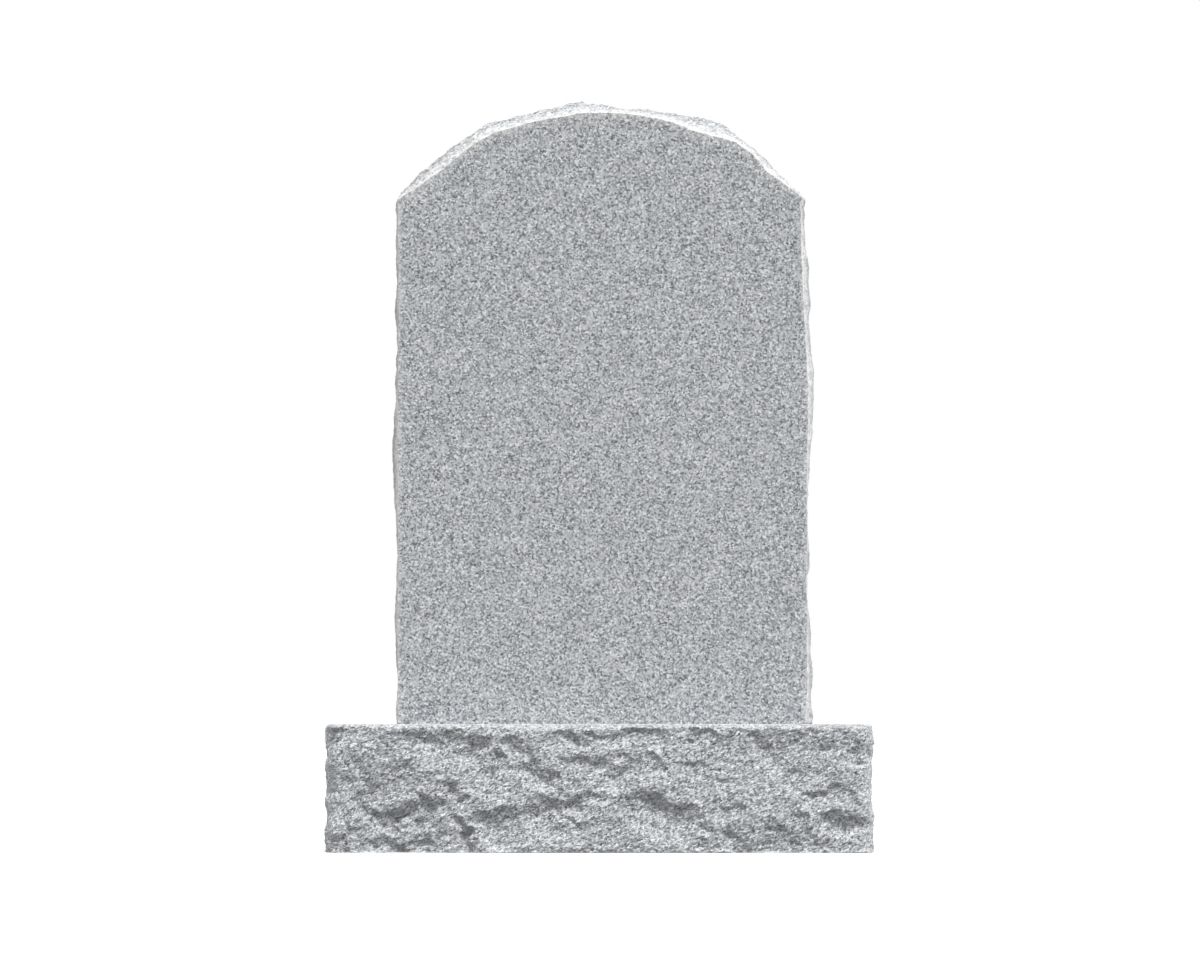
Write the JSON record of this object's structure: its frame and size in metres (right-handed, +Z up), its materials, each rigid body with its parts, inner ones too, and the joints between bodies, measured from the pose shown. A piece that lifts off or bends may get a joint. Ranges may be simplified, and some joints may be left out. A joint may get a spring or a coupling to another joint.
{
  "type": "grave marker",
  "caption": "Upright round-topped blank granite grave marker with rock-pitched edges, standing on a rectangular rock-pitched granite base.",
  "frame": {"origin": "centre of the base's underside (centre of the whole marker's plan)", "axes": "+Z up, -Y towards the viewer of the tablet's front, +X to that viewer's right"},
  "size_m": [0.8208, 0.3532, 1.1354],
  "materials": {
    "rock_pitched_granite": "light grey granite, sawn top and underside, rock-pitched sides, unpolished",
    "steeled_granite": "light grey granite, fine-sawn (steeled) front and back, rock-pitched top and sides, unpolished"
  },
  "bodies": {
    "root": {"base": "rock_pitched_granite", "tablet": "steeled_granite"}
  },
  "joints": []
}
